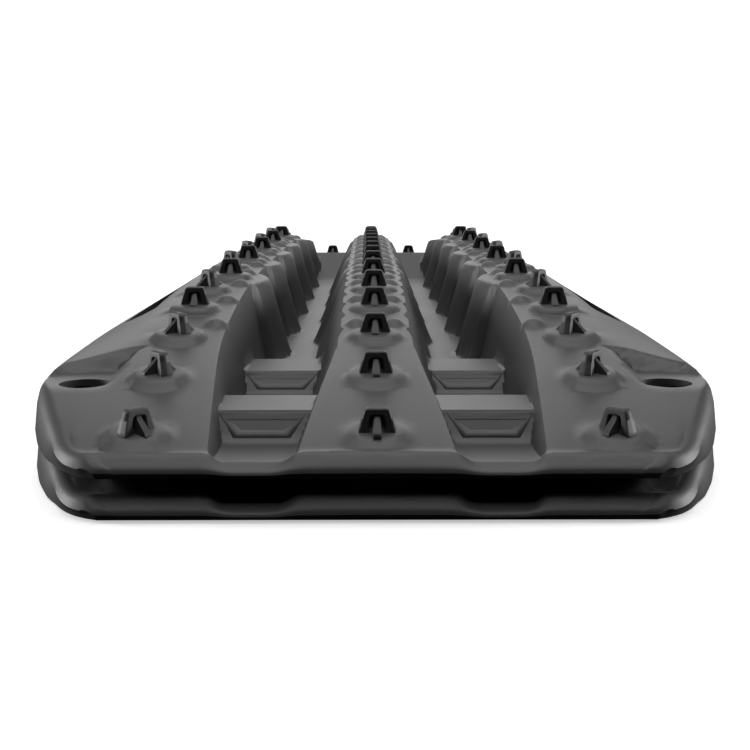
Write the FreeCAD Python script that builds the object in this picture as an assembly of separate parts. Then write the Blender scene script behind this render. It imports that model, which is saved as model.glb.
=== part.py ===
"""A nested pair of vehicle recovery boards: two identical moulded boards, one lying in the other.

Each board is a hollow ribbed shell, open below, with three rows of grip cleats standing on low bosses.
Millimetres, +Z up, +Y along the boards, origin on the ground under the middle of the pair.
The near end is the one at -Y. "d" is always the distance from the nearer end of the board.
"""

import os

import FreeCAD
import Part
from FreeCAD import Vector

os.makedirs("parts", exist_ok=True)

# Driving dimensions.
LENGTH = 1145.0
WALL = 3.5
NEST_PITCH = 17.7  # the upper board stands this much higher than the lower one
BELOW = -12.0  # cutting bodies start here, safely under the board

# Ridges, channels and skirt.
RIDGE_TOP = 57.2
RIDGE_FOOT = 7.6  # where the ridge's climb would start from at the very end
RAMP = 469.0  # length over which a ridge climbs to its full height
RAMP_POWER = 2.96
LIP_FRONT = 5.0  # height of the end face; the lip is rounded over LIP_DEPTH behind it
LIP_DEPTH = 5.0
CENTRE_HALF = (34.1, 18.5)  # half-width of the centre ridge's top, at the lip and past NARROWING
OUTER_INNER = (70.5, 80.5)  # inner top edge of an outer ridge, at the lip and past NARROWING
OUTER_OUTER = (133.0, 118.0)  # outer top edge of an outer ridge, the same two places
NARROWING = 135.0
CENTRE_FLANK = 0.42  # run per rise of the centre ridge's flank
OUTER_FLANK = 0.23  # run per rise of the outer ridge's inner flank
EDGE_DROP = 0.4  # the ridge tops fall this much from crown to edge
FLOOR = 3.0  # top of the channel floor
CHANNEL_FRONT = 1.2
CHANNEL_LIP = 5.3
CHANNEL_LEVEL = 45.0  # the channel floor is level from here on
SKIRT_TOP = 17.5
SKIRT_DRAFT = 1.4
RIM_EDGE = 1.2  # thickness at the rim's lower edge
RIM_CHAMFER = 8.0
EDGE_SETBACK = 9.0  # how far the shoulder's outer edge lies inside the skirt
EDGE_FULL = 30.0  # shoulder height at which the setback is complete
OUTLINE = ((0, 119), (3, 125), (9, 132.5), (32, 144), (50, 151.5), (68, 158.5), (86, 163.5), (112, 165.5))
SHOULDER = ((0, 5), (20, 12), (50, 21), (80, 28), (105, 30), (170, 32), (240, 33))
STATIONS = (0, 5, 12, 20, 32, 50, 70, 90, 112, 135, 170, 220, 280, 360, 470)

# Cleats and bosses.
ROWS = 19
FIRST_ROW = 21.0
COLUMN = 102.5  # the outer cleat columns' distance from the centreline
COLUMN_INNER = 95.7  # the same on even rows of the zigzag
ZIGZAG_FROM, ZIGZAG_TO = 6, 14
CLEAT_HEIGHT = 10.3
CLEAT_BASE, CLEAT_TOP = 8.3, 6.6  # half-widths
CLEAT_EAR = 2.0  # size of the chamfered top corners
CLEAT_THICK = 6.3
CLEAT_RECESS = 2.1  # depth of the arched recess in each face
ARCH = ((-4.8, 1.0), (4.8, 1.0), (4.0, 6.0), (2.2, 7.9), (-2.2, 7.9), (-4.0, 6.0))
GUSSET = 1.4  # half-width of the rib in the recess
GUSSET_FOOT, GUSSET_TIP = 0.5, 5.8
BOSS_RISE = 2.7
BOSS_SINK = 5.0
BOSS_RADIUS = (15.0, 10.5)
BOSS_THINNING = 0.8  # how much smaller the hollow in a boss is than the boss
TURN_OUT = 55.0
TURN_IN = 45.0

# Buttress lobes down the flanks.
LOBE_TOP = 50.0
LOBE_FOOT = 55.5
LOBE_CROWN = 74.5
LOBE_HALF = (22.0, 9.5)  # half-lengths along the board, at the foot and at the crown
LOBE_ROWS = range(6, 16, 2)
CENTRE_LOBE_ROWS = range(7, 15, 2)
CENTRE_LOBE_FOOT = 44.0
CENTRE_LOBE_CROWN = 24.5
LOBE_ROOT = 3.0  # how far a lobe reaches into its ridge
CENTRE_LOBE_ROOT = 5.0  # where a centre lobe ends, inside the ridge

# Cross steps in the channels' near end and the deck that closes their far end.
STEP_AT = ((56.0, 110.0), (180.0, 240.0))
STEP_TOP = 15.8
STEP_FRONT = 9.5  # run of the front riser
STEP_BACK = 6.0
STEP_INSET = (4.0, 3.0)  # how far a step reaches into the centre and outer ridges
DECK_FOOT, DECK_EDGE = 233.0, 170.0
DECK_TOP = 30.5
DECK_LIP = 7.0
DECK_CLEAT_AT = 157.0
DECK_CLEAT_X = 46.0
DECK_CLEAT_SCALE = 0.86
DECK_CLEAT_LIFT = 0.6  # clears the deck's slope under the cleat's rear edge

# Tie-down holes in the corner pockets and the hand slots.
HOLE_X, HOLE_D, HOLE_R = 139.0, 85.0, 12.0
POCKET_FLOOR = 26.0
POCKET = ((127, 66), (170, 50), (170, 104), (155, 112), (143, 132), (129.5, 141))
POCKET_SPREAD = 1.3  # the pocket's walls are this much thicker than the shell's, measured level
SLOT_X = (131.0, 150.0)
SLOT_D = (233.0, 358.0)


def along(table, d):
    """Straight-line value at d in a table of (distance, value)."""
    if d <= table[0][0]:
        return table[0][1]
    for (d0, v0), (d1, v1) in zip(table, table[1:]):
        if d <= d1:
            return v0 + (v1 - v0) * (d - d0) / (d1 - d0)
    return table[-1][1]


def narrowing(pair, d):
    return along(((0, pair[0]), (NARROWING, pair[1])), d)


def ridge_height(d):
    """Convex climb from the rounded lip to the level top."""
    left = max(0.0, 1 - max(d, LIP_DEPTH) / RAMP)
    height = RIDGE_TOP - (RIDGE_TOP - RIDGE_FOOT) * left**RAMP_POWER
    return along(((0, LIP_FRONT), (LIP_DEPTH, height)), d)


def floor_height(d, far):
    """Top of the channel floor: a low lip, then flat, and at the far end a ramp up to the deck."""
    if not far:
        return along(((0, CHANNEL_FRONT), (LIP_DEPTH, CHANNEL_LIP), (CHANNEL_LEVEL, FLOOR)), d)
    deck = ((LIP_DEPTH, DECK_LIP), (DECK_EDGE, DECK_TOP), (DECK_FOOT, FLOOR))
    return along(((0, CHANNEL_FRONT),) + deck, d)


def half_profile(d, far):
    """The top surface from the centreline out to the rim, as (x, z) points."""
    top = ridge_height(d)
    low = min(floor_height(d, far), top - 1.5)
    half = narrowing(CENTRE_HALF, d)
    inner = narrowing(OUTER_INNER, d)
    outer = min(narrowing(OUTER_OUTER, d), along(OUTLINE, d) - 8)
    width = along(OUTLINE, d)
    edge = min(along(SHOULDER, d), top + 3)
    skirt = min(SKIRT_TOP, edge - 2)
    return [
        (0, top),
        (half, top - EDGE_DROP),
        (half + (top - low) * CENTRE_FLANK, low),
        (inner - (top - low) * OUTER_FLANK, low),
        (inner, top - EDGE_DROP),
        (outer, top - EDGE_DROP),
        (width - EDGE_SETBACK * min(1, edge / EDGE_FULL), edge),
        (width - SKIRT_DRAFT, skirt),
        (width, 0),
    ]


def inset(points, t):
    """The polyline moved inwards by t, with mitred corners. Its ends stay on the axis and at the rim."""
    moved = [(0, points[0][1] - t)]
    for (x0, z0), (x1, z1), (x2, z2) in zip(points, points[1:], points[2:]):
        a = Vector(x1 - x0, 0, z1 - z0).normalize()
        b = Vector(x2 - x1, 0, z2 - z1).normalize()
        na = Vector(a.z, 0, -a.x)
        nb = Vector(b.z, 0, -b.x)
        mitre = (na + nb).normalize()
        reach = t / max(mitre.dot(na), 0.5)
        moved.append((x1 + mitre.x * reach, z1 + mitre.z * reach))
    rim = points[-1][0]
    moved.append((rim - t, RIM_CHAMFER))
    moved.append((rim - RIM_EDGE, 0))
    return moved


def section(points, y, low):
    """A closed symmetrical wire across the board at y, closed at height low."""
    right = [Vector(x, y, z) for x, z in points]
    if low < 0:
        right.append(Vector(points[-1][0], y, low))
    left = [Vector(-p.x, y, p.z) for p in reversed(right) if p.x > 0]
    ring = right + left
    return Part.makePolygon(ring + ring[:1])


def board_stations():
    """Every section's (y, d, is it in the far half), near end first."""
    near = [(d - LENGTH / 2, d, False) for d in STATIONS]
    far_d = sorted(STATIONS + (DECK_EDGE + 1, DECK_FOOT), reverse=True)
    return near + [(LENGTH / 2 - d, d, True) for d in far_d]


def solid_body():
    wires = [section(half_profile(d, far), y, 0) for y, d, far in board_stations()]
    return Part.makeLoft(wires, True, True)


def hollow_body():
    wires = []
    for y, d, far in board_stations():
        if d < WALL:
            y += WALL if y < 0 else -WALL
        wires.append(section(inset(half_profile(d, far), WALL), y, BELOW))
    return Part.makeLoft(wires, True, True)


def row_y(row):
    """Row 1 is at the near end."""
    pitch = (LENGTH - 2 * FIRST_ROW) / (ROWS - 1)
    return FIRST_ROW + pitch * (row - 1) - LENGTH / 2


def end_distance(y):
    return LENGTH / 2 - abs(y)


def cleat_places():
    """Every ridge cleat as (column, x, y, turn about Z in degrees)."""
    places = []
    for row in range(1, ROWS + 1):
        y = row_y(row)
        places.append(("centre", 0.0, y, 0.0))
        inner = ZIGZAG_FROM <= row <= ZIGZAG_TO and row % 2 == 0
        x = COLUMN_INNER if inner else COLUMN
        turn = TURN_OUT
        if row in (1, ROWS):
            turn = -TURN_IN
        elif row % 2 == 0 and row > 3:
            turn = 0.0
        places.append(("right", x, y, turn))
        places.append(("left", -x, y, -turn))
    return places


def deck_cleat_places():
    y = LENGTH / 2 - DECK_CLEAT_AT
    return [(side * DECK_CLEAT_X, y, 0.0) for side in (-1, 1)]


def bosses(shrink, drop):
    """The low round bosses under the ridge cleats; shrunk and dropped, they are their hollows."""
    made = []
    for _, x, y, _ in cleat_places():
        base = ridge_height(end_distance(y)) - BOSS_SINK - drop
        cone = Part.makeCone(
            BOSS_RADIUS[0] - shrink,
            BOSS_RADIUS[1] - shrink,
            BOSS_SINK + BOSS_RISE,
            Vector(x, y, base),
        )
        made.append(cone)
    return made


def lobe_block(y, foot, crown, root, t, low):
    """A lobe tapering from foot to crown, its outer faces moved in by t, from height low to its top."""
    wires = []
    for z in (low, LOBE_TOP - t):
        share = z / LOBE_TOP
        x = foot + (crown - foot) * share + (t if root > foot else -t)
        half = LOBE_HALF[0] + (LOBE_HALF[1] - LOBE_HALF[0]) * share - t
        front = [Vector(x, y - half, z), Vector(root, y - half, z)]
        ring = front + [Vector(root, y + half, z), Vector(x, y + half, z)]
        wires.append(Part.makePolygon(ring + ring[:1]))
    return Part.makeLoft(wires, True, True)


def lobes(t, low):
    """The buttress lobes, or with a wall t taken off, the hollows inside them."""
    right = []
    for row in LOBE_ROWS:
        right.append(lobe_block(row_y(row), LOBE_FOOT, LOBE_CROWN, OUTER_INNER[1] + LOBE_ROOT, t, low))
    for row in CENTRE_LOBE_ROWS:
        y = row_y(row)
        right.append(lobe_block(y, CENTRE_LOBE_FOOT, CENTRE_LOBE_CROWN, CENTRE_LOBE_ROOT, t, low))
    return right + [block.mirror(Vector(), Vector(1, 0, 0)) for block in right]


def steps(t, low):
    """The two cross steps in each channel's near end, or the hollows under them."""
    made = []
    for start, end in STEP_AT:
        y0 = start - LENGTH / 2 + t
        y1 = end - LENGTH / 2 - t
        inner = narrowing(CENTRE_HALF, start) - STEP_INSET[0] + 2 * t
        outer = narrowing(OUTER_INNER, start) + STEP_INSET[1] - 2 * t
        side = [
            Vector(inner, y0, low),
            Vector(inner, y0 + STEP_FRONT, STEP_TOP - t),
            Vector(inner, y1 - STEP_BACK, STEP_TOP - t),
            Vector(inner, y1, low),
        ]
        face = Part.Face(Part.makePolygon(side + side[:1]))
        block = face.extrude(Vector(outer - inner, 0, 0))
        made += [block, block.mirror(Vector(), Vector(1, 0, 0))]
    return made


def corners(shape):
    """A shape made for the near right corner, copied to all four corners."""
    right = [shape, shape.mirror(Vector(), Vector(0, 1, 0))]
    return right + [s.mirror(Vector(), Vector(1, 0, 0)) for s in right]


def pocket(grow):
    """The recess round a tie-down hole, grown by a wall where it is kept out of the hollow."""
    centre = Vector(HOLE_X, HOLE_D - LENGTH / 2, 0)
    ring = []
    for x, d in POCKET:
        p = Vector(x, d - LENGTH / 2, POCKET_FLOOR - grow)
        out = Vector(p.x - centre.x, p.y - centre.y, 0).normalize()
        ring.append(p + out * grow * POCKET_SPREAD)
    face = Part.Face(Part.makePolygon(ring + ring[:1]))
    return corners(face.extrude(Vector(0, 0, RIDGE_TOP)))


def holes():
    bore = Part.makeCylinder(HOLE_R, 2 * RIDGE_TOP, Vector(HOLE_X, HOLE_D - LENGTH / 2, BELOW))
    return corners(bore)


def slots():
    """Hand slots through the shoulders: long round-ended openings."""
    radius = (SLOT_X[1] - SLOT_X[0]) / 2
    x = (SLOT_X[0] + SLOT_X[1]) / 2
    y0, y1 = (d - LENGTH / 2 for d in SLOT_D)
    low, tall = BELOW, 2 * RIDGE_TOP
    middle = Part.makeBox(2 * radius, y1 - y0 - 2 * radius, tall, Vector(SLOT_X[0], y0 + radius, low))
    ends = [Part.makeCylinder(radius, tall, Vector(x, y, low)) for y in (y0 + radius, y1 - radius)]
    return corners(middle.fuse(ends).removeSplitter())


def board_shell():
    outer = solid_body().fuse(lobes(0, 0) + steps(0, 0) + bosses(0, 0)).cut(pocket(0))
    inner = hollow_body().fuse(lobes(WALL, BELOW) + steps(WALL, BELOW) + bosses(BOSS_THINNING, WALL))
    inner = inner.cut(pocket(WALL))
    shell = outer.cut(inner).cut(holes() + slots())
    return max(shell.Solids, key=lambda s: s.Volume)


def prism(points, y0, y1):
    """Extrude an (x, z) outline from y0 to y1."""
    ring = [Vector(x, y0, z) for x, z in points]
    return Part.Face(Part.makePolygon(ring + ring[:1])).extrude(Vector(0, y1 - y0, 0))


def cleat():
    """A trapezoidal tooth with an arched recess and a sloped rib in each face, standing on z = 0."""
    half = CLEAT_THICK / 2
    body = prism(
        (
            (-CLEAT_BASE, 0),
            (CLEAT_BASE, 0),
            (CLEAT_TOP, CLEAT_HEIGHT - CLEAT_EAR),
            (CLEAT_TOP - CLEAT_EAR, CLEAT_HEIGHT),
            (CLEAT_EAR - CLEAT_TOP, CLEAT_HEIGHT),
            (-CLEAT_TOP, CLEAT_HEIGHT - CLEAT_EAR),
        ),
        -half,
        half,
    )
    for side in (-1, 1):
        face = side * half
        body = body.cut(prism(ARCH, face - side * CLEAT_RECESS, face + side))
        rib = [
            Vector(-GUSSET, face - side * CLEAT_RECESS, GUSSET_FOOT),
            Vector(-GUSSET, face, GUSSET_FOOT),
            Vector(-GUSSET, face - side * CLEAT_RECESS, GUSSET_TIP),
        ]
        body = body.fuse(Part.Face(Part.makePolygon(rib + rib[:1])).extrude(Vector(2 * GUSSET, 0, 0)))
    return body.removeSplitter()


def stand(tooth, x, y, z, turn):
    placed = tooth.copy()
    placed.rotate(Vector(), Vector(0, 0, 1), turn)
    placed.translate(Vector(x, y, z))
    return placed


def cleat_nodes():
    """Each column's cleats as one compound of separate solids."""
    tooth = cleat()
    nodes = {"left_cleats": [], "centre_cleats": [], "right_cleats": []}
    for column, x, y, turn in cleat_places():
        z = ridge_height(end_distance(y)) + BOSS_RISE
        nodes[column + "_cleats"].append(stand(tooth, x, y, z, turn))
    small = tooth.copy()
    small.scale(DECK_CLEAT_SCALE)
    z = floor_height(DECK_CLEAT_AT, True) + DECK_CLEAT_LIFT
    nodes["deck_cleats"] = [stand(small, x, y, z, turn) for x, y, turn in deck_cleat_places()]
    return {name: Part.Compound(solids) for name, solids in nodes.items()}


def build():
    board = {"shell": board_shell(), **cleat_nodes()}
    for level, name in enumerate(("lower", "upper")):
        for node, shape in board.items():
            raised = shape.copy()
            raised.translate(Vector(0, 0, level * NEST_PITCH))
            raised.exportStep(f"parts/{name}_{node}.step")
    shell = board["shell"]
    print("shell valid", shell.isValid(), "faces", len(shell.Faces), "volume cm3", shell.Volume / 1000)
    print("box", shell.BoundBox)


build()
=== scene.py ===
"""A nested pair of recovery boards: moulded shells, grip cleats, materials, studio and camera.

The boards' lengths, widths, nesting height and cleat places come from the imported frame. The profile
sizes below are millimetres; meshes are built in metres. "d" is the distance from the near end (-Y).
"""

import math

import bpy
import numpy as np
from mathutils import Matrix, Vector


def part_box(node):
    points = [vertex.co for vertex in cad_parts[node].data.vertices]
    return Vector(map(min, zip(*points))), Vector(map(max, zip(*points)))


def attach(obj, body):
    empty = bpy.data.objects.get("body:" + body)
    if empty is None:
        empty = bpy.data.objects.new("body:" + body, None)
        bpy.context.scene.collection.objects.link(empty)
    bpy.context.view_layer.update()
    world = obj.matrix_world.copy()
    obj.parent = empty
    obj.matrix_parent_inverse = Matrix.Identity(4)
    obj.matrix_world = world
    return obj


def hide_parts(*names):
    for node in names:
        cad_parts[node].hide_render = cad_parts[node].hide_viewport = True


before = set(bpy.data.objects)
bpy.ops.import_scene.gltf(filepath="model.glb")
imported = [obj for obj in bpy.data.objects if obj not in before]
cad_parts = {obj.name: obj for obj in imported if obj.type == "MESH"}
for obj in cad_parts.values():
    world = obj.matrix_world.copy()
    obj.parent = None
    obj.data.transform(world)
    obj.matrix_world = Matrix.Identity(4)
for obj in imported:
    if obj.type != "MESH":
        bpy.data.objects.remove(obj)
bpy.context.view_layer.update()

MM = 0.001

# Board size from the frame, in millimetres.
lower_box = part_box("lower_shell")
upper_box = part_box("upper_shell")
LENGTH = (lower_box[1][1] - lower_box[0][1]) / MM
WIDTH = (lower_box[1][0] - lower_box[0][0]) / MM
NEST_PITCH = (upper_box[0][2] - lower_box[0][2]) / MM

# Profile of one board. Pairs are the values at the lip and from NARROWING on.
WALL = 3.5
RIDGE_TOP = 57.2
RIDGE_FOOT = 7.6  # the ridges' height at the lip
RAMP, RAMP_POWER = 469.0, 2.96  # length and steepness of the climb to the ridge top
RIDGE_CROWN = 0.3  # how much lower the centre ridge's edge is than its middle
RIDGE_ROUND = 2.5  # rounding of the ridges' edges
LIP_ROLL = 7.0  # the end lips are rounded over this length
LIP_START = 0.42  # share of the height left at the very edge
BEAD_RISE, BEAD_AT, BEAD_WIDTH = 1.5, 6.4, 2.6  # the low bead along each end lip
CENTRE_HALF = (34.1, 18.5)  # half-width of the centre ridge's top
OUTER_INNER = (70.5, 80.5)  # inner edge of an outer ridge's top
OUTER_OUTER = (133.0, 118.0)  # outer edge of an outer ridge's top
NARROWING = 135.0
CENTRE_FLANK, OUTER_FLANK = 0.38, 0.21  # run of the flanks per unit of height
LIP_FLARE, LIP_FLARE_RUN = 2.4, 16.0
FLOOR = 3.0
CHANNEL_LIP, CHANNEL_LEVEL = 5.3, 45.0  # the channel floor's height at the lip, and where it is level
SKIRT_TOP = 17.5
SKIRT_DRAFT = 1.4
EDGE_SETBACK = 9.0  # from the rim to the shoulder's edge
EDGE_ROUND = 1.7  # power of the curve from the shoulder down to the skirt
# Rings down the rim: share of the height, growth outwards at the sides and at the ends.
RIM_RINGS = ((0.7, 0.6, -1.3), (0.3, SKIRT_DRAFT, -2.9), (0.0, 0.9, -3.6), (0.0, 0.1, -3.8))
RIM_THICKNESS = 4.2
# Half-width of the board, height of its skirt and height of its shoulder, against d.
OUTLINE = (
    (0, 119), (3, 125), (9, 132.5), (32, 144), (50, 151.5), (68, 158.5), (86, 163.5), (112, 165.5)
)
SKIRT = ((0, 3.9), (8, 4.9), (30, 10.5), (60, 16), (90, SKIRT_TOP))
SHOULDER = ((0, 9), (20, 13), (50, 21), (80, 28), (105, 30), (170, 32), (240, 33))

ROWS = 19
FIRST_ROW = 21.0
ROW_PITCH = (LENGTH - 2 * FIRST_ROW) / (ROWS - 1)
COLUMN, COLUMN_INNER = 102.5, 95.7  # the second is for the even rows within ZIGZAG
ZIGZAG = (6, 14)
BOSS_RISE = 3.1
BOSS_ROUND, BOSS_SIDE = 1.7, 1.6  # fall of the boss's top to its edge, and slope of its side
BOSS_TILT = 0.8  # how far a boss leans with the slope of its ridge
BOSS_FLAT, BOSS_EDGE = 8.8, 14.0
BOSS_LIP, BOSS_LIP_FALL = 15.0, 0.16  # the end bosses fall away towards the lip from here
BOSS_WARP = (15.5, 21.0)  # grid lines run in rings inside the first radius, straight past the second
DOME_RISE, DOME_RADIUS = 4.0, 7.6
CENTRE_DOME = 0.85  # size of a centre dome against an outer one
DOME_SHIFT = 0.4  # row pitches past each row
DOME_POWER = 1.2
DOME_ROWS = (3, 16)
DOME_CENTRE, DOME_ODD, DOME_EVEN = 10.4, 86.0, 87.0

LOBE_ROWS = (6, 16)
LOBE_SHIFT = 4.0
LOBE_TIP, LOBE_RUN = 56.0, 0.27  # distance out at the floor, and run per unit of height
LOBE_HALF, LOBE_STEEP = 48.0, 4.3  # half-length, and steepness of the ends
LOBE_DEPTH = 14.0  # how far a lobe falls back to its flank at each end
LOBE_DROP = 1.0  # how far below the ridge top a lobe ends
LOBE_ROUND = 6.0
CENTRE_LOBE_ROWS = (7, 13)
CENTRE_LOBE_TIP, CENTRE_LOBE_RUN = 43.5, 0.42

STEPS = ((56.0, 110.0, 16.8), (180.0, 240.0, 14.8))  # front foot, rear foot, height of the top
STEP_BASE = 5.0
STEP_FRONT, STEP_BACK = 9.5, 6.0
FRAME_X, FRAME_HALF = 52.5, (12.9, 20.0)  # the riser's frame: centre, half-widths below and above
FRAME_MARGIN = (0.8, 1.2)  # from the riser's foot and from its top
# The frame's section from outside to inside: trim and height proud of the riser.
FRAME_SECTION = ((-0.8, -0.5), (0.2, 0.4), (0.9, 0.7), (1.7, 0.7), (2.5, 0.35), (3.5, -0.5))
DECK_FOOT, DECK_EDGE = 233.0, 170.0
DECK_TOP, DECK_LIP = 30.5, 7.0

HOLE_X, HOLE_D, HOLE_R = 139.0, 85.0, 12.0
POCKET_FLOOR, POCKET_SLOPE = 26.0, 1.5
POCKET = ((127, 66), (180, 46), (180, 104), (155, 112), (143, 132), (129.5, 141))  # (x, d)
SLOT_X = (131.0, 150.0)
SLOT_D = (233.0, 358.0)


def curve(table, d):
    """Smooth curve through (distance, value) points, level after the last."""
    xs = np.array([p[0] for p in table], float)
    ys = np.array([p[1] for p in table], float)
    secant = np.diff(ys) / np.diff(xs)
    slope = np.concatenate(([secant[0]], (secant[1:] + secant[:-1]) / 2, [0.0]))
    d = np.clip(d, xs[0], xs[-1])
    i = np.clip(np.searchsorted(xs, d, side="right") - 1, 0, len(xs) - 2)
    h = xs[i + 1] - xs[i]
    t = (d - xs[i]) / h
    a, b = ys[i], ys[i + 1]
    m, n = slope[i] * h, slope[i + 1] * h
    return a + t * m + t**2 * (3 * (b - a) - 2 * m - n) + t**3 * (m + n - 2 * (b - a))


def soft_min(a, b, k):
    h = np.clip(0.5 + 0.5 * (b - a) / k, 0, 1)
    return b + (a - b) * h - k * h * (1 - h)


def soft_max(a, b, k):
    return -soft_min(-a, -b, k)


def ease(a, b, x):
    t = np.clip((x - a) / (b - a), 0, 1)
    return t * t * (3 - 2 * t)


def narrowing(pair, d):
    """From the first value at the lip to the second at NARROWING, with a soft end."""
    left = soft_max(1 - d / NARROWING, 0.0, 0.3)
    return pair[1] + (pair[0] - pair[1]) * left


def flank(base, d):
    """Run of a ridge's flank per unit of height, wider at the lips so that they meet softly."""
    return base + LIP_FLARE * np.clip(1 - d / LIP_FLARE_RUN, 0, 1) ** 2


def ridge_height(d):
    left = np.clip(1 - d / RAMP, 0, 1)
    return RIDGE_TOP - (RIDGE_TOP - RIDGE_FOOT) * left**RAMP_POWER


def floor_height(d, far):
    near_floor = FLOOR + (CHANNEL_LIP - FLOOR) * (1 - ease(0, CHANNEL_LEVEL, d))
    deck = DECK_LIP + (DECK_TOP - DECK_LIP) * d / DECK_EDGE
    ramp = FLOOR + (DECK_TOP - FLOOR) * (DECK_FOOT - d) / (DECK_FOOT - DECK_EDGE)
    far_floor = soft_max(soft_min(deck, ramp, 2.0), FLOOR, 2.0)
    return np.where(far, far_floor, near_floor)


def row_y(row):
    return FIRST_ROW + ROW_PITCH * (row - 1) - LENGTH / 2


def band_edges(y):
    """Distances from the centreline where the section changes, one row of eight for each y."""
    d = LENGTH / 2 - np.abs(y)
    far = y > 0
    top = ridge_height(d)
    rise = np.maximum(top - floor_height(d, far), 1.0)
    width = curve(OUTLINE, d)
    half = narrowing(CENTRE_HALF, d)
    inner = narrowing(OUTER_INNER, d)
    outer = np.minimum(narrowing(OUTER_OUTER, d), width - EDGE_SETBACK - 1)
    lip = width - EDGE_SETBACK
    foot = half + rise * flank(CENTRE_FLANK, d)
    outer_foot = inner - rise * flank(OUTER_FLANK, d)
    return np.stack([0 * d, half, foot, outer_foot, inner, outer, lip, width - SKIRT_DRAFT], -1)


def pocket_distance(x, d):
    """Signed distance to the pocket's outline, negative inside."""
    best = np.full_like(x, -1e9)
    points = list(POCKET)
    for (x0, d0), (x1, d1) in zip(points, points[1:] + points[:1]):
        nx, nd = d1 - d0, x0 - x1
        size = math.hypot(nx, nd)
        best = soft_max(best, ((x - x0) * nx + (d - d0) * nd) / size, 1.5)
    return best


def near_row(y, shift):
    """Index of the nearest row and the distance past it, for features set back by shift."""
    row = np.clip(np.round((y + LENGTH / 2 - FIRST_ROW - shift) / ROW_PITCH) + 1, 1, ROWS)
    return row, y - row_y(row) - shift


def cleat_column(row):
    zigzag = (row >= ZIGZAG[0]) & (row <= ZIGZAG[1]) & (row % 2 == 0)
    return np.where(zigzag, COLUMN_INNER, COLUMN)


NOWHERE = -100.0  # a height below everything


def lobe(x, y, top, parity, rows, tip, run, side):
    """Height of the buttress lobes: rounded tongues that climb from the channel to the ridge."""
    row, dy = near_row(y, LOBE_SHIFT)
    here = (row % 2 == parity) & (row >= rows[0]) & (row <= rows[1])
    back = LOBE_DEPTH * (np.abs(dy) / LOBE_HALF) ** 1.5
    face = FLOOR + (side * (x - tip) - back) / run
    ends = (LOBE_HALF - np.abs(dy)) * LOBE_STEEP
    height = soft_min(soft_min(face, ends, LOBE_ROUND), top - LOBE_DROP, LOBE_ROUND)
    return np.where(here, height, NOWHERE)


def surface(x, y):
    """Height of a board's top surface above its own base."""
    x = np.abs(x)
    d = LENGTH / 2 - np.abs(y)
    far = y > 0
    top = ridge_height(d)
    floor = floor_height(d, far)
    edges = band_edges(y)
    half, inner, outer, lip, width = (edges[..., i] for i in (1, 4, 5, 6, 7))
    edge = np.minimum(curve(SHOULDER, d), top + 3)

    round_top = np.minimum(RIDGE_ROUND, 0.5 * (top - floor) + 0.3)
    crown = top - RIDGE_CROWN * (x / half) ** 2
    centre = soft_min(crown, top - (x - half) / flank(CENTRE_FLANK, d), round_top)
    ridge = soft_min(top, top - (inner - x) / flank(OUTER_FLANK, d), round_top)

    lobe_side = lobe(x, y, top, 0, LOBE_ROWS, LOBE_TIP, LOBE_RUN, 1)
    lobe_mid = lobe(x, y, top, 1, CENTRE_LOBE_ROWS, CENTRE_LOBE_TIP, CENTRE_LOBE_RUN, -1)
    ridge = soft_max(ridge, lobe_side, 1.5)
    centre = soft_max(centre, lobe_mid, 1.5)

    shoulder = top + (edge - top) * np.clip((x - outer) / np.maximum(lip - outer, 1), 0, 1)
    ridge = soft_min(ridge, shoulder, np.minimum(3.0, 0.3 * top))
    pocket = POCKET_FLOOR + np.maximum(pocket_distance(x, d), 0) * POCKET_SLOPE
    ridge = soft_min(ridge, pocket, 1.3)

    z = soft_max(soft_max(centre, ridge, 1.0), floor, 2.5)

    for start, end, height in STEPS:
        front = STEP_BASE + (height - STEP_BASE) * (d - start) / STEP_FRONT
        back = STEP_BASE + (height - STEP_BASE) * (end - d) / STEP_BACK
        step = soft_min(np.minimum(front, height), back, 1.0)
        z = np.where(far, z, soft_max(z, step, 0.5))

    row, dy = near_row(y, 0.0)
    middle_height = ridge_height(LENGTH / 2 - np.abs(row_y(row)))
    seat = middle_height + BOSS_TILT * (top - middle_height) + BOSS_RISE
    for middle in (0.0, cleat_column(row)):
        r = np.hypot(x - middle, dy)
        fall = BOSS_ROUND * (np.clip(r - BOSS_FLAT, 0, None) / (BOSS_EDGE - BOSS_FLAT)) ** 2
        boss = seat - fall - BOSS_SIDE * np.clip(r - BOSS_EDGE, 0, None)
        boss = boss - BOSS_LIP_FALL * np.clip(BOSS_LIP - d, 0, None) ** 1.5
        z = np.where(r < 2 * BOSS_EDGE, soft_max(z, boss, 1.0), z)

    row, dy = near_row(y, DOME_SHIFT * ROW_PITCH)
    there = (row >= DOME_ROWS[0]) & (row <= DOME_ROWS[1])
    outer_dome = np.where(row % 2 == 0, DOME_EVEN, DOME_ODD)
    for middle, size in ((DOME_CENTRE, CENTRE_DOME), (outer_dome, 1.0)):
        share = np.clip(1 - np.hypot(x - middle, dy) ** 2 / (size * DOME_RADIUS) ** 2, 0, 1)
        z = z + np.where(there, size * DOME_RISE * share**DOME_POWER, 0)

    z = z + BEAD_RISE * np.exp(-(((d - BEAD_AT) / BEAD_WIDTH) ** 2))
    roll = np.sqrt(1 - (1 - np.clip(d / LIP_ROLL, 0, 1)) ** 2)
    z = z * (LIP_START + (1 - LIP_START) * roll)
    skirt = curve(SKIRT, d)
    share = np.clip((x - lip) / (width - lip), 0, 1)
    side = skirt + (np.maximum(edge, skirt) - skirt) * (1 - share**EDGE_ROUND) ** (1 / EDGE_ROUND)
    return np.where(x > lip, np.minimum(z, side), z)


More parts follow.
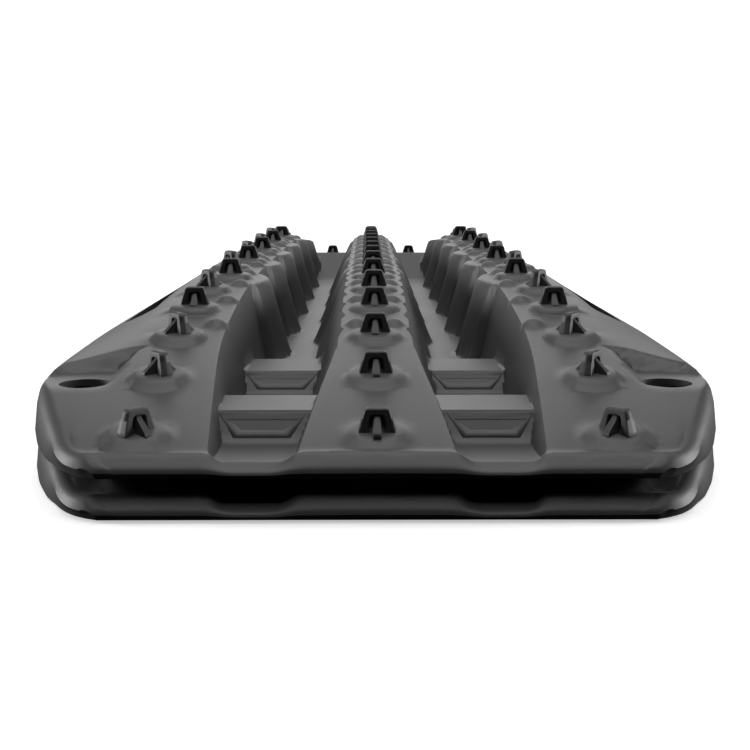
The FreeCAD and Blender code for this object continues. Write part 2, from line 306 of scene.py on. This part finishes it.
def underside(x, y):
    """The top surface moved inwards by the wall: the lowest of the balls that roll under it."""
    low = surface(x, y) - WALL
    for reach in (0.55, 0.85, 1.0):
        depth = WALL * math.sqrt(1 - reach**2)
        for step in range(8):
            turn = step * math.pi / 4
            dx, dy = reach * WALL * math.cos(turn), reach * WALL * math.sin(turn)
            low = np.minimum(low, surface(x + dx, np.clip(y + dy, -LENGTH / 2, LENGTH / 2)) - depth)
    return np.maximum(low, 0.0)


def row_lines():
    """The grid's lines across the board: close together at the cleats, steps and lips."""
    lines = [-LENGTH / 2 + v for v in (0, 0.3, 0.8, 1.5, 2.4, 3.5, 4.7, 6.0)]
    for row in range(1, ROWS + 1):
        lines += list(row_y(row) + np.arange(-14, 14.5, 2.0))
        if row < ROWS:
            lines += list(row_y(row) + DOME_SHIFT * ROW_PITCH + np.arange(-7, 7.5, 2.0))
            lines += list(row_y(row + 1) + np.arange(-26.0, -15, 2.4))
    for start, end, _ in STEPS:
        crest = start + STEP_FRONT - LENGTH / 2
        lines += [crest - STEP_FRONT, crest - 3.0, crest - 0.4, crest, crest + 0.5]
        lines += list(end - LENGTH / 2 + np.arange(-STEP_BACK - 1, 1.5, 1.5))
    lines += list(LENGTH / 2 - DECK_EDGE + np.arange(-3, 3.1, 1.2))
    lines += [LENGTH / 2 - v for v in (6.0, 4.7, 3.5, 2.4, 1.5, 0.8, 0.3, 0)]
    lines = np.sort(np.array(lines))
    keep = [lines[0]]
    for v in lines[1:-1]:
        if v - keep[-1] > 0.28 and lines[-1] - v > 0.2:
            keep.append(v)
    return np.array(keep + [lines[-1]])


BANDS = (11, 7, 14, 7, 21, 7, 5)  # columns in each band of the half-section


def column_places(y, bands):
    """x of every column, from one side to the other, for each line y."""
    edges = band_edges(y)
    right = []
    for i, count in enumerate(bands):
        for k in range(count):
            right.append(edges[:, i] + (edges[:, i + 1] - edges[:, i]) * k / count)
    right.append(edges[:, -1])
    right = np.stack(right, 1)
    return np.concatenate([-right[:, :0:-1], right], 1)


def ring_warp(x, y):
    """The grid's places moved so that its lines run in rings round the bosses."""
    row, dy = near_row(y, 0.0)
    d = LENGTH / 2 - np.abs(y)
    free = np.clip((curve(OUTLINE, d) - np.abs(x)) / 8, 0, 1) * np.clip(d / 7, 0, 1)
    for side in (-1, 0, 1):
        dx = x - side * cleat_column(row)
        square = np.maximum(np.abs(dx), np.abs(dy))
        share = free * np.clip((BOSS_WARP[1] - square) / (BOSS_WARP[1] - BOSS_WARP[0]), 0, 1)
        scale = 1 + share * (square / np.maximum(np.hypot(dx, dy), 1e-6) - 1)
        x = x + dx * (scale - 1)
        y = y + dy * (scale - 1)
    return x, y


def quads(a, b, c, d):
    """Four-cornered faces from four arrays of vertex numbers."""
    return np.stack([a, b, c, d], -1).reshape(-1, 4)


def rim_loop(rows, columns):
    """Grid indices round the edge, anticlockwise seen from above."""
    near = [(0, c) for c in range(columns)]
    right = [(r, columns - 1) for r in range(1, rows)]
    far = [(rows - 1, c) for c in range(columns - 2, -1, -1)]
    left = [(r, 0) for r in range(rows - 2, 0, -1)]
    return near + right + far + left


def board_mesh():
    """One board as a closed mesh: top grid, rim and a coarser underside."""
    lines = row_lines()
    x = column_places(lines, BANDS)
    y = np.repeat(lines[:, None], x.shape[1], 1)
    x, y = ring_warp(x, y)
    z = surface(x, y)
    rows, columns = x.shape
    vertices = [np.stack([x, y, z], -1).reshape(-1, 3)]
    index = np.arange(rows * columns).reshape(rows, columns)
    faces = [quads(index[:-1, :-1], index[:-1, 1:], index[1:, 1:], index[1:, :-1])]

    loop = rim_loop(rows, columns)
    ring = np.array([index[r, c] for r, c in loop])
    edge = vertices[0][ring]
    tangent = np.roll(edge[:, :2], -1, 0) - np.roll(edge[:, :2], 1, 0)
    tangent /= np.hypot(tangent[:, 0], tangent[:, 1])[:, None]
    outward = np.stack([tangent[:, 1], -tangent[:, 0]], 1)
    at_end = 1 - ease(3.0, 45.0, LENGTH / 2 - np.abs(edge[:, 1]))
    count = rows * columns
    rings = [ring]
    for share, side_grow, end_grow in RIM_RINGS:
        grow = side_grow + (end_grow - side_grow) * at_end
        loop_points = edge.copy()
        loop_points[:, :2] += outward * grow[:, None]
        loop_points[:, 2] = edge[:, 2] * share
        vertices.append(loop_points)
        rings.append(count + np.arange(len(ring)))
        count += len(ring)
    for a, b in zip(rings, rings[1:]):
        faces.append(quads(np.roll(a, -1), a, b, np.roll(b, -1)))

    # Underside: every second column and fourth line of the top grid, a little inside the rim.
    pick_r = sorted(set(list(range(0, rows - 1, 4)) + [rows - 1]))
    pick_c = sorted(set(list(range(0, columns - 1, 2)) + [columns - 1]))
    squeeze = 1 - RIM_THICKNESS / (WIDTH / 2)
    ux = x[np.ix_(pick_r, pick_c)] * squeeze
    uy = y[np.ix_(pick_r, pick_c)] * (1 - RIM_THICKNESS / (LENGTH / 2))
    uz = underside(ux, uy)
    vertices.append(np.stack([ux, uy, uz], -1).reshape(-1, 3))
    under = count + np.arange(ux.size).reshape(ux.shape)
    faces.append(quads(under[:-1, :-1], under[1:, :-1], under[1:, 1:], under[:-1, 1:]))

    # Stitch the rim's last ring to the coarser underside's edge.
    place_r = {r: i for i, r in enumerate(pick_r)}
    place_c = {c: i for i, c in enumerate(pick_c)}
    last = rings[-1]
    triangles = []
    anchors = [k for k, (r, c) in enumerate(loop) if r in place_r and c in place_c]
    total = len(loop)
    for n, k in enumerate(anchors):
        k2 = anchors[(n + 1) % len(anchors)]
        a = under[place_r[loop[k][0]], place_c[loop[k][1]]]
        b = under[place_r[loop[k2][0]], place_c[loop[k2][1]]]
        steps = (k2 - k) % total
        for s in range(steps):
            p, q = last[(k + s) % total], last[(k + s + 1) % total]
            triangles.append((p, a, q) if s < (steps + 1) // 2 else (p, b, q))
        middle = last[(k + (steps + 1) // 2) % total]
        triangles.append((middle, a, b))
    return np.concatenate(vertices) * MM, faces, triangles


def new_mesh(name, vertices, faces, triangles=()):
    mesh = bpy.data.meshes.new(name)
    polygons = [tuple(int(v) for v in f) for block in faces for f in block]
    polygons += [tuple(int(v) for v in t) for t in triangles]
    mesh.from_pydata([tuple(v) for v in vertices], [], polygons)
    mesh.validate()
    return mesh


def add(name, mesh, material):
    obj = bpy.data.objects.new(name, mesh)
    bpy.context.scene.collection.objects.link(obj)
    mesh.materials.append(material)
    return obj


def round_cutter(x, d, radius, half_length=0.0, segments=40):
    """A closed upright bar, round or slot-shaped, as vertices and faces in millimetres."""
    ring = []
    for k in range(segments):
        a = 2 * math.pi * k / segments
        shift = half_length if math.sin(a) > 1e-6 else -half_length
        ring.append((x + radius * math.cos(a), d - LENGTH / 2 + radius * math.sin(a) + shift))
    low = [(px, py, -10.0) for px, py in ring]
    high = [(px, py, 2 * RIDGE_TOP) for px, py in ring]
    n = segments
    faces = [(k, (k + 1) % n, n + (k + 1) % n, n + k) for k in range(n)]
    return low + high, faces + [tuple(range(n - 1, -1, -1)), tuple(range(n, 2 * n))]


def cutters():
    """All the tie-down holes and hand slots as one mesh of separate closed bars."""
    slot_r = (SLOT_X[1] - SLOT_X[0]) / 2
    slot = (sum(SLOT_X) / 2, sum(SLOT_D) / 2, slot_r, (SLOT_D[1] - SLOT_D[0]) / 2 - slot_r)
    vertices, faces = [], []
    for shape in (round_cutter(HOLE_X, HOLE_D, HOLE_R), round_cutter(*slot)):
        for sx in (-1, 1):
            for sy in (-1, 1):
                base = len(vertices)
                vertices += [(sx * x * MM, sy * y * MM, z * MM) for x, y, z in shape[0]]
                flip = sx * sy < 0
                faces += [tuple(base + i for i in (f[::-1] if flip else f)) for f in shape[1]]
    mesh = bpy.data.meshes.new("cutters")
    mesh.from_pydata(vertices, [], faces)
    return bpy.data.objects.new("cutters", mesh)


def cut_openings(mesh):
    """The mesh with its holes and slots cut, as a new mesh."""
    work = bpy.data.objects.new("work", mesh)
    bars = cutters()
    for obj in (work, bars):
        bpy.context.scene.collection.objects.link(obj)
    cut = work.modifiers.new("openings", "BOOLEAN")
    cut.operation = "DIFFERENCE"
    cut.solver = "EXACT"
    cut.object = bars
    graph = bpy.context.evaluated_depsgraph_get()
    result = bpy.data.meshes.new_from_object(work.evaluated_get(graph))
    for obj in (work, bars):
        bpy.data.objects.remove(obj)
    return result


def step_frame(start, height, side):
    """The raised trapezoid frame on a step's sloping riser, as vertices and faces."""
    slope = STEP_FRONT / (height - STEP_BASE)
    low, high = STEP_BASE + FRAME_MARGIN[0], height - FRAME_MARGIN[1]

    def loop(trim, proud):
        """Four corners at a trim inside the frame's outline and a height proud of the riser."""
        points = []
        for share, sign in ((0, -1), (0, 1), (1, 1), (1, -1)):
            z = low + (high - low) * share + (trim if share == 0 else -trim)
            width = FRAME_HALF[0] + (FRAME_HALF[1] - FRAME_HALF[0]) * share - 1.2 * trim
            d = start + (z - STEP_BASE) * slope - proud
            points.append((side * (FRAME_X + sign * width), d - LENGTH / 2, z))
        return points

    loops = [loop(trim, proud) for trim, proud in FRAME_SECTION]
    vertices = [p for ring in loops for p in ring]
    faces = []
    for n in range(len(loops)):
        m = (n + 1) % len(loops)
        for k in range(4):
            q = (k + 1) % 4
            face = (4 * n + k, 4 * n + q, 4 * m + q, 4 * m + k)
            faces.append(face if side > 0 else face[::-1])
    return vertices, faces


# One cleat, in millimetres on a cleat TOOTH_WIDTH wide and TOOTH_HEIGHT high.
TOOTH_WIDTH, TOOTH_HEIGHT = 16.6, 10.3
TOOTH_TOP = 0.65  # width of the top against the foot
TOOTH_CORNER, TOOTH_BEVEL = 2.2, 0.75
TOOTH_THINNING = 0.28  # share of the thickness lost at the top
TOOTH_ROOT = 1.2  # how far a cleat reaches down into its boss
ARCH_HALF, ARCH_TOP = 4.1, 7.2  # the arched recess in each face
RECESS = 0.34  # its depth against the thickness
RIB_REACH, RIB_SLOPE = 5.6, 1.02  # the sloping rib in the middle of each face
RIB_HALF, RIB_TAPER = 2.4, 0.12
LEDGE, LEDGE_SLOPE = 1.3, 0.8  # the low ledge along the recess's foot


def tooth_mesh(name, places):
    """Every cleat of one node, as separate closed teeth in one mesh."""
    columns, levels = 27, 22
    u = np.linspace(-1, 1, columns)
    u = np.sign(u) * np.abs(u) ** 0.85
    v = np.linspace(0, 1, levels) ** 0.9
    vertices, faces = [], []
    for x0, y0, z0, width, thick, height, turn in places:
        scale = width / TOOTH_WIDTH
        half_low, half_high = width / 2, width / 2 * TOOTH_TOP
        z = v * height
        corner = TOOTH_CORNER * scale
        near_top = np.clip(z - (height - corner), 0, corner)
        half = half_low + (half_high - half_low) * v - (corner - np.sqrt(corner**2 - near_top**2))
        x = u[None, :] * half[:, None]
        zz = np.repeat(z[:, None], columns, 1)
        plate = thick / 2 * (1 - TOOTH_THINNING * (zz / height))
        bevel = TOOTH_BEVEL * scale
        side_fall = np.clip((np.abs(x) - (half[:, None] - bevel)) / bevel, 0, 1)
        top_fall = np.clip((zz - (height - bevel)) / bevel, 0, 1)
        rim = np.sqrt(np.clip(1 - np.maximum(side_fall, top_fall) ** 2, 0, 1))
        arch_half = (ARCH_HALF - 0.07 * (zz / scale) ** 1.5) * scale
        arch_top = ARCH_TOP * height / TOOTH_HEIGHT
        inside = soft_min(arch_half - np.abs(x), (arch_top - zz) * 0.9, 1.0 * scale)
        recess = np.clip(inside / (0.7 * scale), 0, 1) * thick * RECESS
        rib_reach = thick / 2 + RIB_REACH * scale - RIB_SLOPE * zz
        rib_half = (RIB_HALF - RIB_TAPER * zz / scale) * scale
        rib = rib_reach * np.clip(1.6 - 1.6 * (np.abs(x) / rib_half) ** 3, 0, 1) ** 0.5
        ledge = np.where(inside > 0, np.clip(LEDGE * scale - LEDGE_SLOPE * zz, 0, None), 0)
        reach = np.maximum(np.maximum(plate - recess, rib), plate - recess + ledge)
        reach = np.maximum(reach * rim, 0.02)
        reach = np.minimum(reach, thick / 2 + 5.8 * scale)
        local = []
        for front in (-1, 1):
            local.append(np.stack([x, front * reach, zz], -1).reshape(-1, 3))
        foot = []
        for front in (-1, 1):
            foot.append(np.stack([x[0], front * reach[0], np.full(columns, -TOOTH_ROOT)], -1))
        local = np.concatenate(local + foot)
        c, s = math.cos(turn), math.sin(turn)
        placed_x = x0 + local[:, 0] * c - local[:, 1] * s
        placed_y = y0 + local[:, 0] * s + local[:, 1] * c
        placed = np.stack([placed_x, placed_y, z0 + local[:, 2]], -1)
        base = sum(len(block) for block in vertices)
        grid = base + np.arange(columns * levels).reshape(levels, columns)
        back = grid + columns * levels
        low_front = base + 2 * columns * levels + np.arange(columns)
        low_back = low_front + columns

        faces.append(quads(grid[:-1, :-1], grid[:-1, 1:], grid[1:, 1:], grid[1:, :-1]))
        faces.append(quads(back[:-1, 1:], back[:-1, :-1], back[1:, :-1], back[1:, 1:]))
        faces.append(quads(grid[:-1, 0], grid[1:, 0], back[1:, 0], back[:-1, 0]))
        faces.append(quads(grid[1:, -1], grid[:-1, -1], back[:-1, -1], back[1:, -1]))
        faces.append(quads(grid[-1, :-1], grid[-1, 1:], back[-1, 1:], back[-1, :-1]))
        faces.append(quads(low_front[:-1], low_front[1:], grid[0, 1:], grid[0, :-1]))
        faces.append(quads(low_back[1:], low_back[:-1], back[0, :-1], back[0, 1:]))
        faces.append(quads(low_front[1:], low_front[:-1], low_back[:-1], low_back[1:]))
        faces.append(quads(low_front[0:1], grid[0, 0:1], back[0, 0:1], low_back[0:1]))
        faces.append(quads(grid[0, -1:], low_front[-1:], low_back[-1:], back[0, -1:]))
        vertices.append(placed)
    return new_mesh(name, np.concatenate(vertices) * MM, faces)


def cleat_places(node):
    """Place, size and turn of each cleat of a CAD node, in millimetres, from its mesh."""
    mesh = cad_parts[node].data
    points = np.empty(len(mesh.vertices) * 3)
    mesh.vertices.foreach_get("co", points)
    points = points.reshape(-1, 3)
    matrix = np.array(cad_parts[node].matrix_world)
    points = (points @ matrix[:3, :3].T + matrix[:3, 3]) / MM
    keys = points[:, 1]
    if node.endswith("deck_cleats"):  # the two stand side by side, so they are told apart by x
        keys = keys + 4 * LENGTH * (points[:, 0] > 20)
    order = np.argsort(keys)
    groups = np.split(order, np.where(np.diff(keys[order]) > 20)[0] + 1)
    places = []
    for group in groups:
        own = points[group]
        low, high = own.min(0), own.max(0)
        middle = (low + high) / 2
        spread = np.cov((own[:, :2] - middle[:2]).T)
        turn = 0.5 * math.atan2(2 * spread[0, 1], spread[0, 0] - spread[1, 1])
        along = np.array([math.cos(turn), math.sin(turn)])
        across = np.array([-along[1], along[0]])
        width = np.ptp(own[:, :2] @ along)
        thick = np.ptp(own[:, :2] @ across)
        places.append((middle[0], middle[1], low[2], width, thick, high[2] - low[2], turn))
    return places


def node(tree, kind, **inputs):
    made = tree.nodes.new(kind)
    for key, value in inputs.items():
        made.inputs[key.replace("_", " ")].default_value = value
    return made


def plastic(name, dark, light, rough, grain):
    """Satin moulded polymer: slight tone drift, fine grain, and a painted highlight that lightens
    convex edges.
    """
    material = bpy.data.materials.new(name)
    material.use_nodes = True
    tree = material.node_tree
    shader = tree.nodes["Principled BSDF"]
    links = tree.links
    place = tree.nodes.new("ShaderNodeTexCoord")

    drift = node(tree, "ShaderNodeTexNoise", Scale=9.0, Detail=3.0, Roughness=0.55)
    speck = node(tree, "ShaderNodeTexNoise", Scale=900.0, Detail=2.0, Roughness=0.6)
    links.new(place.outputs["Object"], drift.inputs["Vector"])
    links.new(place.outputs["Object"], speck.inputs["Vector"])

    tone = tree.nodes.new("ShaderNodeMix")
    tone.data_type = "RGBA"
    tone.inputs[6].default_value = (*dark, 1)
    tone.inputs[7].default_value = (*light, 1)
    links.new(drift.outputs["Fac"], tone.inputs[0])

    # Painted edge highlight: convex edges, found by pointiness, are mixed up to a quarter of the way
    # towards 1.5 times the light tone.
    highlight_geometry = tree.nodes.new("ShaderNodeNewGeometry")
    edge = tree.nodes.new("ShaderNodeMapRange")
    edge.inputs["From Min"].default_value = 0.52
    edge.inputs["From Max"].default_value = 0.62
    edge.inputs["To Max"].default_value = 0.25
    links.new(highlight_geometry.outputs["Pointiness"], edge.inputs["Value"])
    painted_highlight_mix = tree.nodes.new("ShaderNodeMix")
    painted_highlight_mix.data_type = "RGBA"
    painted_highlight_mix.inputs[7].default_value = (*[1.5 * c for c in light], 1)
    links.new(edge.outputs["Result"], painted_highlight_mix.inputs[0])
    links.new(tone.outputs[2], painted_highlight_mix.inputs[6])
    links.new(painted_highlight_mix.outputs[2], shader.inputs["Base Color"])

    gloss = tree.nodes.new("ShaderNodeMapRange")
    gloss.inputs["To Min"].default_value = rough - 0.05
    gloss.inputs["To Max"].default_value = rough + 0.07
    links.new(drift.outputs["Fac"], gloss.inputs["Value"])
    links.new(gloss.outputs["Result"], shader.inputs["Roughness"])

    bump = tree.nodes.new("ShaderNodeBump")
    bump.inputs["Strength"].default_value = grain
    bump.inputs["Distance"].default_value = 0.0002
    links.new(speck.outputs["Fac"], bump.inputs["Height"])
    links.new(bump.outputs["Normal"], shader.inputs["Normal"])
    return material


def smooth(mesh, angle):
    """Smooth shading that keeps edges sharper than the angle crisp."""
    mesh.polygons.foreach_set("use_smooth", [True] * len(mesh.polygons))
    mesh.set_sharp_from_angle(angle=math.radians(angle))


def board_shells(material):
    vertices, faces, triangles = board_mesh()
    shell = cut_openings(new_mesh("shell", vertices, faces, triangles))
    frames_v, frames_f = [], []
    for start, _, height in STEPS:
        for side in (-1, 1):
            own_v, own_f = step_frame(start, height, side)
            frames_f += [tuple(len(frames_v) + i for i in f) for f in own_f]
            frames_v += own_v
    base = len(shell.vertices)
    all_v = [tuple(v.co) for v in shell.vertices]
    all_v += [tuple(c * MM for c in v) for v in frames_v]
    all_f = [tuple(p.vertices) for p in shell.polygons]
    all_f += [tuple(base + i for i in f) for f in frames_f]
    lower = bpy.data.meshes.new("board")
    lower.from_pydata(all_v, [], all_f)
    smooth(lower, 42)
    upper = lower.copy()
    upper.transform(Matrix.Translation((0, 0, NEST_PITCH * MM)))
    for level, mesh, body in (("lower", lower, "root"), ("upper", upper, "upper_board")):
        piece = add(f"{level}_board", mesh, material)
        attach(piece, body)
        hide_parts(f"{level}_shell")


def cleats(material):
    for level, body in (("lower", "root"), ("upper", "upper_board")):
        for group in ("left", "centre", "right", "deck"):
            name = f"{level}_{group}_cleats"
            mesh = tooth_mesh(name + "_mesh", cleat_places(name))
            smooth(mesh, 50)
            piece = add(f"{level}_{group}_teeth", mesh, material)
            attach(piece, body)
            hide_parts(name)


def stage_piece(name, mesh, material):
    """A floor or backdrop that the camera sees but that throws no light back onto the boards."""
    piece = add(name, mesh, material)
    piece.visible_diffuse = False
    piece.visible_glossy = False
    piece.visible_shadow = False
    return piece


def backdrop_mesh(radius, height, segments=64):
    turns = [2 * math.pi * k / segments for k in range(segments)]
    ring = [(radius * math.cos(a), radius * math.sin(a)) for a in turns]
    low = [(x, y, -0.001) for x, y in ring]
    high = [(x, y, height) for x, y in ring]
    n = segments
    faces = [(k, (k + 1) % n, n + (k + 1) % n, n + k) for k in range(n)]
    mesh = bpy.data.meshes.new("backdrop")
    mesh.from_pydata(low + high, [], faces)
    return mesh


def pale_material(name, base, rough, emission):
    """A plain white-lit surface: grey level of the base, roughness and strength of its own light."""
    material = bpy.data.materials.new(name)
    material.use_nodes = True
    inputs = material.node_tree.nodes["Principled BSDF"].inputs
    inputs["Base Color"].default_value = (base, base, base, 1)
    inputs["Roughness"].default_value = rough
    inputs["Emission Color"].default_value = (1, 1, 1, 1)
    inputs["Emission Strength"].default_value = emission
    return material


def studio():
    """Pale floor and backdrop, soft light overhead, behind and low at both sides, and the camera."""
    scene = bpy.context.scene
    scene.view_settings.view_transform = "Standard"
    reach = 12.0
    corners = [(-reach, -reach, 0), (reach, -reach, 0), (reach, reach, 0), (-reach, reach, 0)]
    floor_mesh = bpy.data.meshes.new("floor")
    floor_mesh.from_pydata(corners, [], [(0, 1, 2, 3)])
    pale = pale_material("pale_floor", 0.85, 1.0, 0.5)
    pale.node_tree.nodes["Principled BSDF"].inputs["Specular IOR Level"].default_value = 0.0
    floor = stage_piece("floor", floor_mesh, pale)
    floor.location.z = -0.0005
    white = pale_material("backdrop", 0.0, 0.5, 1.0)
    stage_piece("backdrop", backdrop_mesh(11.0, 8.0), white)

    world = bpy.data.worlds.new("studio")
    world.use_nodes = True
    world.node_tree.nodes["Background"].inputs["Color"].default_value = (1, 1, 1, 1)
    world.node_tree.nodes["Background"].inputs["Strength"].default_value = 0.01
    scene.world = world

    for name, direction, angle, power in (
        ("overhead", (0.0, -0.02, 1.0), 62.0, 1.75),
        ("rear", (0.0, 1.0, 0.4), 45.0, 0.7),
        ("left", (-1.0, 0.25, 0.2), 30.0, 2.2),
        ("right", (1.0, 0.25, 0.2), 30.0, 2.2),
    ):
        lamp = bpy.data.lights.new(name, "SUN")
        lamp.angle = math.radians(angle)
        lamp.energy = power
        obj = bpy.data.objects.new(name, lamp)
        scene.collection.objects.link(obj)
        obj.rotation_euler = Vector(direction).to_track_quat("Z", "Y").to_euler()

    camera = bpy.data.cameras.new("camera")
    camera.lens = 57.6
    camera.sensor_width = 36.0
    camera.clip_start = 0.01
    obj = bpy.data.objects.new("camera", camera)
    scene.collection.objects.link(obj)
    obj.location = (-0.0041, -LENGTH / 2 * MM - 0.4797, 0.1427)
    yaw, pitch = 0.0064, 0.1669
    level = math.cos(pitch)
    aim = Vector((math.sin(yaw) * level, math.cos(yaw) * level, -math.sin(pitch)))
    obj.rotation_euler = aim.to_track_quat("-Z", "Y").to_euler()
    scene.camera = obj


board_plastic = plastic("board_plastic", (0.062, 0.064, 0.062), (0.078, 0.08, 0.078), 0.46, 0.25)
cleat_plastic = plastic("cleat_plastic", (0.036, 0.037, 0.036), (0.046, 0.047, 0.046), 0.5, 0.2)
board_shells(board_plastic)
cleats(cleat_plastic)
studio()
